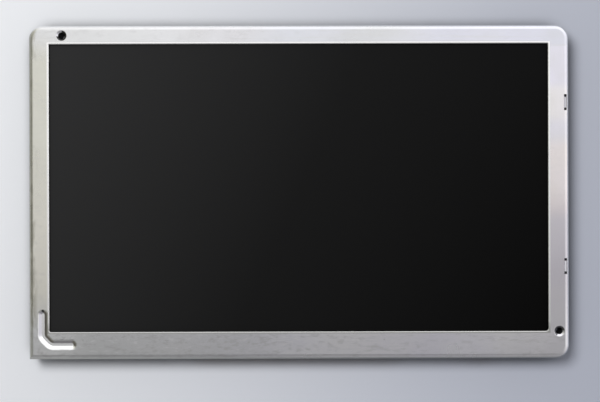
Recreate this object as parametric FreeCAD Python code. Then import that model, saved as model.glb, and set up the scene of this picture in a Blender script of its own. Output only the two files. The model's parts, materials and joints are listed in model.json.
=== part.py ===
"""Touch LCD module lying on its back: +X right, +Y to the top of the screen, +Z out of the screen."""
import FreeCAD, Part
import math
import os

Vector = FreeCAD.Vector
match_tolerance = 1e-5

# Outline and window, seen from the front
outline_width = 169.4
outline_height = 104.6
corner_radius = 4.2
border_left = 6.45
border_right = 6.65
border_top = 5.9
border_bottom = 8.65
window_upper_radius = 0.25
window_lower_left_radius = 0.5
window_lower_right_radius = 0.9

# Front bezel: drawn sheet with a turned-down lip round the window
bezel_sheet = 0.4
bezel_bend_radius = 1.5
window_lip_depth = 0.7
window_lip_radius = 0.3
bezel_wall_end_gap = 0.4
open_corner_width = 0.35
open_corner_length = 1.1

# Mounting holes, dimpled into the bezel in two opposite corners
mount_hole_radius = 1.1
dimple_radius = 1.7
dimple_depth = 0.45
dimple_collar = 0.4
upper_hole_from_left = 10.4
upper_hole_from_top = 3.15
lower_hole_from_right = 3.2
lower_hole_from_bottom = 8.6
frame_hole_clearance = 0.1

# Stiffening bead in the lower left corner of the bezel
bead_width = 3.1
bead_floor_width = 0.9
bead_depth = 0.7
bead_from_left = 4.4
bead_from_bottom = 4.65
bead_rise = 10.95
bead_run = 10.6
bead_corner_cut = 2.5
bead_bend_radius = 2.1
bead_rim_radius = 0.45
bead_floor_radius = 0.25

# Thicknesses from the back to the front
cover_sheet = 0.3
cover_clearance = 0.25
component_height = 1.4
board_thickness = 0.8
insulation_thickness = 0.2
chassis_sheet = 0.5
reflector_thickness = 0.2
guide_thickness = 2.4
diffuser_thickness = 0.2
prism_thickness = 0.2
sheet_play = 0.2
ledge_thickness = 0.6
polarizer_thickness = 0.2
tft_thickness = 0.7
filter_thickness = 0.7
panel_gasket_thickness = 0.5
touch_glass_thickness = 1.1
touch_spacer_thickness = 0.1
touch_film_thickness = 0.2
bezel_gasket_thickness = 0.8

# Glass and sheets, beside the window or the active area
active_width = 154.1
active_height = 86.6
glass_over_top = 1.1
glass_over_right = 1.1
glass_over_left = 3.4
glass_over_bottom = 6.0
driver_ledge_left = 1.8
driver_ledge_bottom = 4.4
film_setback = 0.1
gasket_setback = 0.25
front_polarizer_margin = 0.2
rear_polarizer_margin = 0.3
ledge_margin = 0.6
guide_margin = 0.5
reflector_setback = 0.1
pocket_clearance = 0.15
bezel_gasket_gap = 0.05
gasket_narrow = 0.4
gasket_wide = 2.2
gasket_end_gap = 0.5

# Mould frame, rear chassis and their clips
frame_clearance = 0.15
chassis_wall_height = 3.0
chassis_bend_radius = 0.9
chassis_wall_clearance = 0.1
clip_length = 5.0
clip_clearance = 0.6
clip_height = 2.4
clip_flush_gap = 0.1
clip_root = 1.0
side_clip_from_bottom = 46.35
long_side_clip_from_end = 39.7
low_clip_drop = 1.1

# Locating slots in the right bend, with a lug of the frame standing in each
slot_length = 5.0
slot_width = 0.85
slot_from_edge = 0.75
slot_from_top = 24.35
slot_from_bottom = 28.9
lug_end_gap = 0.8
lug_side_gap = 0.1
lug_below_face = 0.35
lug_pocket_depth = 2.2

# Driver chips on the edge of the TFT glass
source_chip_length = 14.0
source_chip_width = 1.2
source_chip_pitch = 30.0
source_chip_count = 3
gate_chip_length = 12.0
gate_chip_width = 0.9
gate_chip_pitch = 36.0
gate_chip_count = 2
chip_height = 0.4
chip_from_edge = 0.45

# Flexible circuits that fold round the lower edge to the board
flex_thickness = 0.12
flex_bend_radius = 0.4
flex_channel_depth = 0.8
flex_channel_clearance = 0.6
source_flex_width = 64.0
source_flex_bond = 1.6
touch_flex_width = 9.0
touch_flex_from_right = 26.7
touch_flex_bond = 3.0
led_flex_width = 7.0
led_flex_from_left = 26.7
flex_insertion = 1.0

# Backlight
led_count = 9
led_length = 3.0
led_depth = 1.0
led_height = 1.6
led_end_margin = 9.0
led_gap = 0.1
led_slot_clearance = 0.5
led_rim = 0.25

# Control board and what it carries
board_height = 56.0
board_from_left = 17.0
board_from_right = 14.4
board_from_bottom = 8.6
board_corner_radius = 1.5
insulation_border = 0.8
flex_connector_depth = 4.2
flex_connector_from_edge = 3.0
flex_connector_side = 2.5
flex_connector_height = 1.2
latch_bar = 0.9
latch_groove = 0.25
flex_slot_height = 0.3
flex_slot_clearance = 0.15
flex_slot_roof = 0.35

# Shield cover over the board
cover_height = 41.0
cover_from_board_left = 30.0
cover_from_board_right = 6.0
cover_from_board_top = 3.2
cover_corner_radius = 2.0
cover_bend_radius = 0.6
vent_width = 1.4
vent_corner_radius = 0.68
vent_length = 9.0
vent_pitch = 4.0
vent_count = 9
vent_rows = 2
vent_row_pitch = 13.0
tab_length = 5.4
tab_reach = 5.6
tab_from_end = 9.0

# Screws
board_screw_radius = 0.95
board_screw_head_radius = 1.9
board_screw_head_height = 0.8
screw_clearance = 0.15
chassis_screw_radius = 0.8
chassis_screw_head_radius = 1.5
chassis_screw_head_height = 0.7
chassis_screw_length = 2.6
chassis_screw_from_side = 2.6
drive_slot_width = 0.45
drive_slot_length = 1.7
drive_slot_depth = 0.35
head_round_share = 0.4
chassis_screw_from_end = 40.7

# Pressed beads in the upper half of the rear chassis
rib_width = 5.0
rib_height = 0.5
rib_draft = 0.6
rib_from_end = 28.0
rib_spacing = 15.0
rib_count = 2
rib_end_share = 0.49

# Interface connector at the left end of the board
plug_socket_length = 26.0
plug_socket_depth = 5.2
plug_socket_wall = 0.35
plug_socket_overhang = 0.6
contact_from_end = 0.7
contact_count = 20
contact_width = 0.3
contact_thickness = 0.15
contact_foot = 1.1
chip_stand_off = 0.15

# Chips on the board
controller_side = 14.0
controller_lead_count = 20
controller_lead_width = 0.3
controller_lead_reach = 1.0
small_chip_length = 6.0
small_chip_width = 4.0
chip_lead_count = 4
coil_side = 6.0
coil_corner_radius = 1.2
coil_core_radius = 2.1
coil_groove = 0.3
capacitor_length = 3.2
capacitor_width = 1.6
capacitor_height = 1.2
capacitor_pitch = 4.2
capacitor_from_board_edge = 12.6
capacitor_count = 6
capacitor_terminal = 0.5
capacitor_step = 0.05

# Levels, from the rear face of the cover up
z_board_rear = cover_sheet + cover_clearance + component_height
z_flex_entry = z_board_rear - flex_slot_roof - flex_slot_height / 2
z_blade = z_board_rear - component_height / 2 - contact_thickness / 2
z_board_front = z_board_rear + board_thickness
z_chassis_rear = z_board_front + insulation_thickness
z_chassis_front = z_chassis_rear + chassis_sheet
z_guide_rear = z_chassis_front + reflector_thickness
z_guide_front = z_guide_rear + guide_thickness
z_prism_rear = z_guide_front + diffuser_thickness
z_ledge_rear = z_prism_rear + prism_thickness + sheet_play
z_tft_rear = z_ledge_rear + ledge_thickness
z_tft_front = z_tft_rear + tft_thickness
z_filter_front = z_tft_front + filter_thickness
z_touch_rear = z_filter_front + panel_gasket_thickness
z_touch_front = z_touch_rear + touch_glass_thickness
z_film_rear = z_touch_front + touch_spacer_thickness
z_film_front = z_film_rear + touch_film_thickness
z_bezel_under = z_film_front + bezel_gasket_thickness
z_front = z_bezel_under + bezel_sheet
z_bezel_wall_end = z_chassis_rear + bezel_wall_end_gap
z_chassis_wall_end = z_chassis_rear + chassis_wall_height
z_low_clip_top = z_front - bezel_bend_radius - low_clip_drop
z_low_clip_end = z_low_clip_top - clip_height

# Edges of the outline, the window, the active area and the glass
left = -outline_width / 2
right = outline_width / 2
bottom = -outline_height / 2
top = outline_height / 2
window_left = left + border_left
window_right = right - border_right
window_bottom = bottom + border_bottom
window_top = top - border_top
centre_x = (window_left + window_right) / 2
centre_y = (window_bottom + window_top) / 2
glass_left = window_left - glass_over_left
glass_right = window_right + glass_over_right
glass_bottom = window_bottom - glass_over_bottom
glass_top = window_top + glass_over_top
frame_inset = bezel_sheet + frame_clearance
rebate_inset = frame_inset + chassis_sheet + chassis_wall_clearance
channel_face = bottom + frame_inset + flex_channel_depth
source_flex_place = centre_x
touch_flex_place = right - touch_flex_from_right
led_flex_place = left + led_flex_from_left
slot_places = (top - slot_from_top, bottom + slot_from_bottom)
slot_outer = right - slot_from_edge
slot_inner = slot_outer - slot_width
long_side_clip_places = (left + long_side_clip_from_end, right - long_side_clip_from_end)
mount_holes = [
    (left + upper_hole_from_left, top - upper_hole_from_top),
    (right - lower_hole_from_right, bottom + lower_hole_from_bottom),
]

# Light guide and the light strip below it
guide_left = window_left - guide_margin
guide_right = window_right + guide_margin
guide_top = window_top + guide_margin
guide_bottom = window_bottom - guide_margin
led_front = guide_bottom - led_gap
led_rear = led_front - led_depth
led_flex_rear = led_rear - flex_thickness

# Board, cover and the connectors for the flexible circuits
board_left = left + board_from_left
board_right = right - board_from_right
board_bottom = bottom + board_from_bottom
board_top = board_bottom + board_height
cover_right = board_right - cover_from_board_right
cover_left = board_left + cover_from_board_left
cover_top = board_top - cover_from_board_top
cover_bottom = cover_top - cover_height
flex_connector_front = board_bottom + flex_connector_from_edge
flex_connector_back = flex_connector_front + flex_connector_depth
flex_end = flex_connector_front + flex_insertion


def block(x0, x1, y0, y1, z0, z1):
    return Part.makeBox(x1 - x0, y1 - y0, z1 - z0, Vector(x0, y0, z0))


def rounded_rectangle(x0, x1, y0, y1, radii):
    """Closed wire at z = 0; corner radii run from the lower left anticlockwise, and 0 is sharp."""
    centres = [
        (x0 + radii[0], y0 + radii[0], 180),
        (x1 - radii[1], y0 + radii[1], 270),
        (x1 - radii[2], y1 - radii[2], 0),
        (x0 + radii[3], y1 - radii[3], 90),
    ]
    arcs = []
    for (x, y, start), radius in zip(centres, radii):
        angles = [math.radians(start + turn) for turn in (0, 45, 90)]
        arcs.append([Vector(x + radius * math.cos(a), y + radius * math.sin(a), 0) for a in angles])
    edges = []
    for index, (first, middle, last) in enumerate(arcs):
        if radii[index] > 0:
            edges.append(Part.Arc(first, middle, last).toShape())
        edges.append(Part.makeLine(last, arcs[(index + 1) % 4][0]))
    return Part.Wire(edges)


def rounded_edges(points, radii):
    """Edges of an open line through the points, with an arc at each inner point."""
    edges = []
    start = points[0]
    for before, corner, after, radius in zip(points, points[1:], points[2:], radii):
        into = (corner - before).normalize()
        out = (after - corner).normalize()
        half_turn = into.getAngle(out) / 2
        reach = radius * math.tan(half_turn)
        inward = (out - into).normalize()
        middle = corner + inward * radius * (1 / math.cos(half_turn) - 1)
        edges.append(Part.makeLine(start, corner - into * reach))
        edges.append(Part.Arc(corner - into * reach, middle, corner + out * reach).toShape())
        start = corner + out * reach
    edges.append(Part.makeLine(start, points[-1]))
    return edges


def prism(wire, z0, z1):
    face = Part.Face(wire)
    face.translate(Vector(0, 0, z0))
    return face.extrude(Vector(0, 0, z1 - z0))


def rounded_block(x0, x1, y0, y1, z0, z1, radius):
    return prism(rounded_rectangle(x0, x1, y0, y1, [radius] * 4), z0, z1)


def cylinder(x, y, z0, z1, radius):
    return Part.makeCylinder(radius, z1 - z0, Vector(x, y, z0))


def module_outline(inset):
    """The module's outline, set in: three drawn corners and a sharp folded one at the lower left."""
    drawn = corner_radius - inset
    return rounded_rectangle(left + inset, right - inset, bottom + inset, top - inset,
                             [0, drawn, drawn, drawn])


def window_outline(margin):
    radii = [window_lower_left_radius, window_lower_right_radius, window_upper_radius, window_upper_radius]
    return rounded_rectangle(window_left - margin, window_right + margin, window_bottom - margin,
                             window_top + margin, [radius + margin for radius in radii])


def edges_at(shape, z):
    """Edges that lie wholly in the plane at height z."""
    box = [edge.BoundBox for edge in shape.Edges]
    flat = [abs(b.ZMin - z) < match_tolerance and abs(b.ZMax - z) < match_tolerance for b in box]
    return [edge for edge, keep in zip(shape.Edges, flat) if keep]


def outline_block(inset, z0, z1):
    return prism(module_outline(inset), z0, z1)


def area_block(margin, z0, z1):
    """A sheet as large as the active area with a margin."""
    half_width = active_width / 2 + margin
    half_height = active_height / 2 + margin
    return block(centre_x - half_width, centre_x + half_width, centre_y - half_height,
                 centre_y + half_height, z0, z1)


def glass_block(setback, z0, z1):
    return block(glass_left + setback, glass_right - setback, glass_bottom + setback,
                 glass_top - setback, z0, z1)


def pocket_block(z0, z1):
    return glass_block(-pocket_clearance, z0, z1)


def guide_block(clearance, z0, z1):
    return block(guide_left - clearance, guide_right + clearance, guide_bottom - clearance,
                 guide_top + clearance, z0, z1)


# Front bezel

def bead_path():
    """Centre line of the corner bead: an upright leg, a diagonal and a level leg, joined by arcs."""
    x = left + bead_from_left
    y = bottom + bead_from_bottom
    corners = [
        Vector(x, y + bead_rise - bead_width / 2, 0),
        Vector(x, y + bead_corner_cut, 0),
        Vector(x + bead_corner_cut, y, 0),
        Vector(x + bead_run - bead_width / 2, y, 0),
    ]
    return Part.Wire(rounded_edges(corners, [bead_bend_radius] * 2))


def bead_solid(width, floor_width, z_wide, z_floor):
    wide = bead_path().makeOffset2D(width / 2)
    wide.translate(Vector(0, 0, z_wide))
    floor = bead_path().makeOffset2D(floor_width / 2)
    floor.translate(Vector(0, 0, z_floor))
    return Part.makeLoft([wide, floor], True, True)


def bead_edges(shell, z):
    """Edges of the bead at height z: those no further from its centre line than half its width."""
    path = bead_path()
    path.translate(Vector(0, 0, z))
    reach = bead_width / 2 + match_tolerance
    return [edge for edge in edges_at(shell, z)
            if path.distToShape(Part.Vertex(edge.CenterOfMass))[0] < reach]


def press_bead(shell):
    """Presses the corner bead into the bezel's face and rounds its rim and its floor."""
    under = bezel_sheet * (bead_width - bead_floor_width) / 2 / bead_depth
    shell = shell.fuse(bead_solid(bead_width, bead_floor_width + under, z_bezel_under,
                                  z_bezel_under - bead_depth))
    shell = shell.cut(bead_solid(bead_width, bead_floor_width, z_front, z_front - bead_depth))
    for z, radius in ((z_front, bead_rim_radius), (z_front - bead_depth, bead_floor_radius)):
        shell = shell.makeFillet(radius, bead_edges(shell, z))
    return shell


def dimple_profile(x, y):
    """Half section of a dimpled hole: the pressed cone and the short collar below it."""
    slope = math.atan2(dimple_radius - mount_hole_radius, dimple_depth)
    wall = bezel_sheet / math.cos(slope)
    collar_end = z_front - dimple_depth - dimple_collar
    under_radius = dimple_radius + wall - bezel_sheet * math.tan(slope)
    points = [
        (dimple_radius, z_front),
        (mount_hole_radius, z_front - dimple_depth),
        (mount_hole_radius, collar_end),
        (mount_hole_radius + bezel_sheet, collar_end),
        (mount_hole_radius + bezel_sheet, z_front - dimple_depth),
        (under_radius, z_bezel_under),
        (under_radius, z_front),
    ]
    corners = [Vector(x + radius, y, z) for radius, z in points]
    return Part.Face(Part.makePolygon(corners + corners[:1]))


def dimple(x, y):
    return dimple_profile(x, y).revolve(Vector(x, y, 0), Vector(0, 0, 1), 360)


def locating_slot(y):
    """Cut through the right bend that leaves the wall outside it whole."""
    half = slot_length / 2
    return block(slot_inner, slot_outer, y - half, y + half, z_front - bezel_bend_radius, z_front)


def wall_clip_box(side, place, reach_in, reach_out, grow, z0, z1):
    """Box across one wall: side is left, right, bottom or top, and place is along that side."""
    half = clip_length / 2 + grow
    if side == "left":
        return block(left + reach_out, left + reach_in, place - half, place + half, z0, z1)
    if side == "right":
        return block(right - reach_in, right - reach_out, place - half, place + half, z0, z1)
    if side == "bottom":
        return block(place - half, place + half, bottom + reach_out, bottom + reach_in, z0, z1)
    return block(place - half, place + half, top - reach_in, top - reach_out, z0, z1)


def low_clips():
    """Side and place of each clip, all of them below the bend."""
    places = [(side, bottom + side_clip_from_bottom) for side in ("left", "right")]
    places += [(side, place) for side in ("bottom", "top") for place in long_side_clip_places]
    return places


def front_bezel():
    outer = outline_block(0, z_bezel_wall_end, z_front)
    outer = outer.makeFillet(bezel_bend_radius, edges_at(outer, z_front))
    inner = outline_block(bezel_sheet, z_bezel_wall_end, z_bezel_under)
    inner = inner.makeFillet(bezel_bend_radius - bezel_sheet, edges_at(inner, z_bezel_under))
    lip = prism(window_outline(bezel_sheet), z_front - window_lip_depth, z_front)
    shell = outer.cut(inner).fuse(lip)
    shell = shell.cut(prism(window_outline(0), z_front - window_lip_depth, z_front)).removeSplitter()
    rim = [edge for edge in edges_at(shell, z_front) if in_window(edge)]
    shell = shell.makeFillet(window_lip_radius, rim)
    shell = press_bead(shell)
    for x, y in mount_holes:
        shell = shell.cut(cylinder(x, y, z_bezel_under, z_front, dimple_radius))
        shell = shell.fuse(dimple(x, y).common(outer))
    for place in slot_places:
        shell = shell.cut(locating_slot(place))
    for side, place in low_clips():
        shell = shell.cut(wall_clip_box(side, place, bezel_sheet, 0, 0,
                                        z_low_clip_end - clip_clearance, z_low_clip_top + clip_clearance))
    slit = block(left, left + bezel_sheet, bottom + open_corner_length - open_corner_width,
                 bottom + open_corner_length, z_bezel_wall_end, z_front)
    return shell.cut(slit).removeSplitter()


def in_window(edge):
    box = edge.BoundBox
    inside_x = box.XMin > left + bezel_bend_radius and box.XMax < right - bezel_bend_radius
    return inside_x and box.YMin > bottom + bezel_bend_radius and box.YMax < top - bezel_bend_radius


# Layers between the bezel and the glass

def bezel_gaskets():
    """Four foam strips under the bezel; the left and lower ones stop short of the corner bead."""
    gap = bezel_sheet + bezel_gasket_gap
    strip_left = window_left - gap - gasket_wide
    strip_right = window_right + gap + gasket_narrow
    above = window_top + gap
    below = window_bottom - gap
    bead_top = bottom + bead_from_bottom + bead_rise + gasket_end_gap
    bead_end = left + bead_from_left + bead_run + gasket_end_gap
    levels = (z_film_front, z_bezel_under)
    return {
        "bezel_gasket_top": block(strip_left, strip_right, above, above + gasket_narrow, *levels),
        "bezel_gasket_left": block(strip_left, window_left - gap, bead_top, above, *levels),
        "bezel_gasket_right": block(window_right + gap, strip_right, below, above, *levels),
        "bezel_gasket_bottom": block(bead_end, strip_right, below - gasket_wide, below, *levels),
    }


def touch_spacer():
    ring = glass_block(film_setback, z_touch_front, z_film_rear)
    ring = ring.cut(prism(window_outline(gasket_setback), z_touch_front, z_film_rear))
    half = touch_flex_width / 2
    return ring.cut(block(touch_flex_place - half, touch_flex_place + half, glass_bottom,
                          glass_bottom + touch_flex_bond, z_touch_front, z_film_rear))


def filter_block(setback, z0, z1):
    """A sheet over the colour filter glass, which leaves the driver edges of the lower glass bare."""
    return block(glass_left + driver_ledge_left + setback, glass_right - setback,
                 glass_bottom + driver_ledge_bottom + setback, glass_top - setback, z0, z1)


def panel_gasket():
    ring = filter_block(film_setback, z_filter_front, z_touch_rear)
    return ring.cut(prism(window_outline(gasket_setback), z_filter_front, z_touch_rear))


def front_polarizer():
    return prism(window_outline(front_polarizer_margin), z_filter_front,
                 z_filter_front + polarizer_thickness)


def driver_chips():
    """Bare driver chips bonded to the lower and left edges of the TFT glass."""
    chips = {}
    y = glass_bottom + driver_ledge_bottom - chip_from_edge - source_chip_width
    for index in range(source_chip_count):
        x = source_flex_place + (index - (source_chip_count - 1) / 2) * source_chip_pitch
        chips[f"source_driver_{index + 1}"] = block(
            x - source_chip_length / 2, x + source_chip_length / 2, y, y + source_chip_width,
            z_tft_front, z_tft_front + chip_height)
    x = glass_left + chip_from_edge
    for index in range(gate_chip_count):
        y = centre_y + (index - (gate_chip_count - 1) / 2) * gate_chip_pitch
        chips[f"gate_driver_{index + 1}"] = block(
            x, x + gate_chip_width, y - gate_chip_length / 2, y + gate_chip_length / 2,
            z_tft_front, z_tft_front + chip_height)
    return chips


# Flexible circuits

def folded_flex(route, thickness, x0, x1):
    """A thin strip from x0 to x1 along a route of runs in the YZ plane that meet at right angles."""
    half = thickness / 2
    centre = [Vector(x0, y, z) for y, z in route]
    runs = [(after - before).normalize() for before, after in zip(centre, centre[1:])]
    normals = [Vector(0, -run.z, run.y) for run in runs]
    sides = []
    for side in (half, -half):
        corners = [point + (n0 + n1) * side for point, n0, n1 in zip(centre[1:], normals, normals[1:])]
        points = [centre[0] + normals[0] * side] + corners + [centre[-1] + normals[-1] * side]
        turns = [r0.y * r1.z - r0.z * r1.y for r0, r1 in zip(runs, runs[1:])]
        radii = [flex_bend_radius + half - side * turn for turn in turns]
        sides.append((points, rounded_edges(points, radii)))
    (left_points, left_edges), (right_points, right_edges) = sides
    caps = [Part.makeLine(left_points[-1], right_points[-1]), Part.makeLine(right_points[0], left_points[0])]
    outline = Part.Wire(left_edges + caps[:1] + right_edges[::-1] + caps[1:])
    return Part.Face(outline).extrude(Vector(x1 - x0, 0, 0))


def edge_flex(place, width, thickness, bond, z_start):
    """Flexible circuit from a bond on the glass, down inside the bezel's wall and back to the board."""
    y_fall = (channel_face + bottom + bezel_sheet) / 2
    route = [
        (glass_bottom + bond, z_start + thickness / 2),
        (y_fall, z_start + thickness / 2),
        (y_fall, z_flex_entry),
        (flex_end, z_flex_entry),
    ]
    return folded_flex(route, thickness, place - width / 2, place + width / 2)


def source_flex():
    return edge_flex(source_flex_place, source_flex_width, flex_thickness, source_flex_bond, z_tft_front)


def touch_flex():
    return edge_flex(touch_flex_place, touch_flex_width, touch_spacer_thickness, touch_flex_bond,
                     z_touch_front)


def led_flex():
    """Light strip standing behind the lights, with a tail through the chassis to the board."""
    y = (led_rear + led_flex_rear) / 2
    strip = block(guide_left, guide_right, led_flex_rear, led_rear, z_guide_rear, z_guide_front)
    tail = folded_flex([(y, z_guide_front), (y, z_flex_entry), (flex_end, z_flex_entry)], flex_thickness,
                       led_flex_place - led_flex_width / 2, led_flex_place + led_flex_width / 2)
    return strip.fuse(tail).removeSplitter()


def edge_flex_channels(clearance):
    """Width of each fold at the lower edge, with clearance: start and end along X."""
    folds = [(source_flex_place, source_flex_width), (touch_flex_place, touch_flex_width)]
    return [(place - width / 2 - clearance, place + width / 2 + clearance) for place, width in folds]


# Backlight

def lights():
    """Side-emitting lights, each with a shallow lens pocket facing the guide."""
    z0 = z_guide_rear + (guide_thickness - led_height) / 2
    span = guide_right - guide_left - 2 * led_end_margin
    bodies = {}
    for index in range(led_count):
        x = guide_left + led_end_margin + span * index / (led_count - 1)
        body = block(x - led_length / 2, x + led_length / 2, led_rear, led_front, z0, z0 + led_height)
        lens = block(x - led_length / 2 + led_rim, x + led_length / 2 - led_rim, led_front - led_rim,
                     led_front, z0 + led_rim, z0 + led_height - led_rim)
        bodies[f"led_{index + 1}"] = body.cut(lens)
    return bodies


# Mould frame and rear chassis

def add_hooks(body):
    """Hooks for the bezel's clip windows, each free at its sides in a pocket of the frame."""
    root = frame_inset + clip_root
    for side, place in low_clips():
        body = body.cut(wall_clip_box(side, place, root, frame_inset, 0, z_low_clip_end - clip_clearance,
                                      z_low_clip_top + clip_clearance))
        body = body.fuse(wall_clip_box(side, place, root, clip_flush_gap, -clip_clearance, z_low_clip_end,
                                       z_low_clip_top))
    return body


def add_lugs(body):
    """Lugs that stand in the bezel's locating slots, each between two pockets of the frame."""
    outer = right - frame_inset
    z_pocket = z_film_front - lug_pocket_depth
    half = slot_length / 2
    half_lug = half - lug_end_gap
    for place in slot_places:
        body = body.cut(block(slot_inner, outer, place - half, place + half, z_pocket, z_film_front))
        body = body.fuse(block(slot_inner + lug_side_gap, slot_outer - lug_side_gap, place - half_lug,
                               place + half_lug, z_pocket, z_front - lug_below_face))
    return body


def mould_frame():
    z_step = z_chassis_wall_end + chassis_wall_clearance
    lower = outline_block(rebate_inset, z_chassis_front, z_step)
    lower = lower.makeChamfer(chassis_bend_radius - chassis_sheet, edges_at(lower, z_chassis_front))
    body = lower.fuse(outline_block(frame_inset, z_step, z_film_front))
    body = add_lugs(add_hooks(body))
    body = body.cut(pocket_block(z_tft_rear, z_front))
    body = body.cut(area_block(ledge_margin, z_ledge_rear, z_tft_rear))
    body = body.cut(guide_block(pocket_clearance, z_chassis_front, z_ledge_rear))
    body = body.cut(block(guide_left - pocket_clearance, guide_right + pocket_clearance,
                          led_flex_rear - pocket_clearance, guide_bottom, z_chassis_front, z_ledge_rear))
    for x0, x1 in edge_flex_channels(flex_channel_clearance):
        body = body.cut(block(x0, x1, bottom, channel_face, z_chassis_rear, z_front))
        body = body.cut(block(x0, x1, bottom, glass_bottom, z_tft_rear, z_front))
    for x, y in mount_holes:
        body = body.cut(cylinder(x, y, z_chassis_front, z_front, mount_hole_radius + frame_hole_clearance))
    for x, y in chassis_screw_centres():
        tip = z_chassis_rear + chassis_screw_length + screw_clearance
        body = body.cut(cylinder(x, y, z_chassis_front, tip, chassis_screw_radius))
    return body.removeSplitter()


def chassis_screw_centres():
    inset = frame_inset + chassis_screw_from_side
    columns = (left + chassis_screw_from_end, right - chassis_screw_from_end)
    return [(x, y) for y in (bottom + inset, top - inset) for x in columns]


def rib_places():
    """Middle line of each pressed bead: the group lies midway between the board's sheet and the screws."""
    sheet_edge = board_top + insulation_border
    screw_edge = top - frame_inset - chassis_screw_from_side - chassis_screw_head_radius
    middle = (sheet_edge + screw_edge) / 2
    return [middle + (index - (rib_count - 1) / 2) * rib_spacing for index in range(rib_count)]


def pressed_rib(y, width, z_wide, z_floor):
    """A long pressed bead with sloped sides, wide at z_wide and narrower at z_floor."""
    wires = []
    for z, size in ((z_wide, width), (z_floor, width - 2 * rib_draft)):
        shrink = (width - size) / 2
        wire = rounded_rectangle(left + rib_from_end + shrink, right - rib_from_end - shrink,
                                 y - size / 2, y + size / 2, [size * rib_end_share] * 4)
        wire.translate(Vector(0, 0, z))
        wires.append(wire)
    return Part.makeLoft(wires, True, True)


def rear_chassis():
    outer = outline_block(frame_inset, z_chassis_rear, z_chassis_wall_end)
    outer = outer.makeFillet(chassis_bend_radius, edges_at(outer, z_chassis_rear))
    inner = outline_block(frame_inset + chassis_sheet, z_chassis_front, z_chassis_wall_end)
    inner = inner.makeFillet(chassis_bend_radius - chassis_sheet, edges_at(inner, z_chassis_front))
    shell = outer.cut(inner)
    for y in rib_places():
        shell = shell.fuse(pressed_rib(y, rib_width, z_chassis_rear, z_chassis_rear - rib_height))
        shell = shell.cut(pressed_rib(y, rib_width - rib_draft, z_chassis_front,
                                      z_chassis_front - rib_height))
    for x0, x1 in edge_flex_channels(flex_channel_clearance):
        shell = shell.cut(block(x0, x1, bottom, channel_face, z_chassis_rear, z_chassis_wall_end))
    half = led_flex_width / 2 + led_slot_clearance
    shell = shell.cut(block(led_flex_place - half, led_flex_place + half, led_flex_rear - led_slot_clearance,
                            led_rear + led_slot_clearance, z_chassis_rear, z_chassis_front))
    holes = [(x, y, mount_hole_radius + frame_hole_clearance) for x, y in mount_holes]
    holes += [(x, y, chassis_screw_radius + screw_clearance) for x, y in chassis_screw_centres()]
    holes += [(x, y, board_screw_radius) for x, y in board_screw_centres()]
    for x, y, radius in holes:
        shell = shell.cut(cylinder(x, y, z_chassis_rear, z_chassis_front, radius))
    return shell.removeSplitter()


# Control board and its cover

def board_screw_centres():
    reach = (tab_reach + board_screw_head_radius) / 2 - screw_clearance
    rows = (cover_bottom + tab_from_end, cover_top - tab_from_end)
    return [(x, y) for y in rows for x in (cover_left - reach, cover_right + reach)]


def drill_board_screws(shape, z0, z1):
    for x, y in board_screw_centres():
        shape = shape.cut(cylinder(x, y, z0, z1, board_screw_radius + screw_clearance))
    return shape


def insulation_sheet():
    sheet = rounded_block(board_left - insulation_border, board_right + insulation_border,
                          board_bottom - insulation_border, board_top + insulation_border,
                          z_board_front, z_chassis_rear, board_corner_radius + insulation_border)
    return drill_board_screws(sheet, z_board_front, z_chassis_rear)


def control_board():
    board = rounded_block(board_left, board_right, board_bottom, board_top, z_board_rear, z_board_front,
                          board_corner_radius)
    return drill_board_screws(board, z_board_rear, z_board_front)


def vent(x, y):
    half_width = vent_width / 2
    half_length = vent_length / 2
    return rounded_block(x - half_width, x + half_width, y - half_length, y + half_length, 0, cover_sheet,
                         vent_corner_radius)


def shield_cover():
    outer = rounded_block(cover_left, cover_right, cover_bottom, cover_top, 0, z_board_rear,
                          cover_corner_radius)
    outer = outer.makeFillet(cover_bend_radius, edges_at(outer, 0))
    inner = rounded_block(cover_left + cover_sheet, cover_right - cover_sheet, cover_bottom + cover_sheet,
                          cover_top - cover_sheet, cover_sheet, z_board_rear,
                          cover_corner_radius - cover_sheet)
    inner = inner.makeFillet(cover_bend_radius - cover_sheet, edges_at(inner, cover_sheet))
    shell = outer
    for y in (cover_bottom + tab_from_end, cover_top - tab_from_end):
        tabs = rounded_block(cover_left - tab_reach, cover_right + tab_reach, y - tab_length / 2,
                             y + tab_length / 2, z_board_rear - cover_sheet, z_board_rear, cover_bend_radius)
        shell = shell.fuse(tabs)
    shell = shell.cut(inner)
    middle_x = (cover_left + cover_right) / 2
    middle_y = (cover_bottom + cover_top) / 2
    for row in range(vent_rows):
        for index in range(vent_count):
            x = middle_x + (index - (vent_count - 1) / 2) * vent_pitch
            y = middle_y + (row - (vent_rows - 1) / 2) * vent_row_pitch
            shell = shell.cut(vent(x, y))
    return drill_board_screws(shell, z_board_rear - cover_sheet, z_board_rear).removeSplitter()


def screw(x, y, z_seat, z_tip, radius, head_radius, head_height):
    """Pan-head screw with its head below the seat, cross-slotted."""
    shape = cylinder(x, y, z_seat, z_tip, radius).fuse(
        cylinder(x, y, z_seat - head_height, z_seat, head_radius)).removeSplitter()
    rim = edges_at(shape, z_seat - head_height)
    shape = shape.makeFillet(head_height * head_round_share, rim)
    z_slot = z_seat - head_height
    for half_x, half_y in ((drive_slot_length / 2, drive_slot_width / 2),
                           (drive_slot_width / 2, drive_slot_length / 2)):
        shape = shape.cut(block(x - half_x, x + half_x, y - half_y, y + half_y, z_slot,
                                z_slot + drive_slot_depth))
    return shape


def board_screws():
    return Part.makeCompound([
        screw(x, y, z_board_rear - cover_sheet, z_chassis_front, board_screw_radius,
              board_screw_head_radius, board_screw_head_height) for x, y in board_screw_centres()])


def chassis_screws():
    return Part.makeCompound([
        screw(x, y, z_chassis_rear, z_chassis_rear + chassis_screw_length, chassis_screw_radius,
              chassis_screw_head_radius, chassis_screw_head_height) for x, y in chassis_screw_centres()])


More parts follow.
